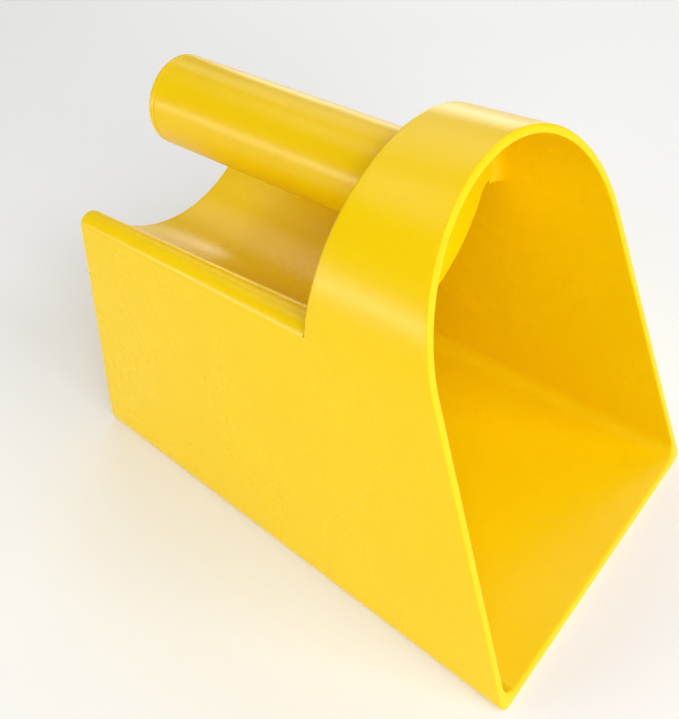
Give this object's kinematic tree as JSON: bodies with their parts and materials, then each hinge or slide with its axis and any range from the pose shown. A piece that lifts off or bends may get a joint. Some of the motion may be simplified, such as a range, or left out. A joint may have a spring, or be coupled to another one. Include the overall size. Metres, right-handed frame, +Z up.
{
  "type": "grain scoop",
  "caption": "Hand scoop for grain with a flat floor, leaning sides, a rounded hood over the mouth, a closed back, a finger trough and a round tubular grip.",
  "frame": {"origin": "middle of the floor's underside, halfway between the front lip and the outside of the back wall", "axes": "+Z up from the floor; -Y out of the mouth; +Y towards the back wall; +X across the scoop"},
  "size_m": [0.1692, 0.25, 0.1981],
  "materials": {
    "body_polyethylene": "moulded yellow polyethylene, soft gloss",
    "grip_polyethylene": "moulded yellow polyethylene, soft gloss"
  },
  "bodies": {
    "root": {"scoop_body": "body_polyethylene", "handle": "grip_polyethylene", "handle_end_cap": "grip_polyethylene", "handle_lock_nut": "grip_polyethylene"}
  },
  "joints": []
}
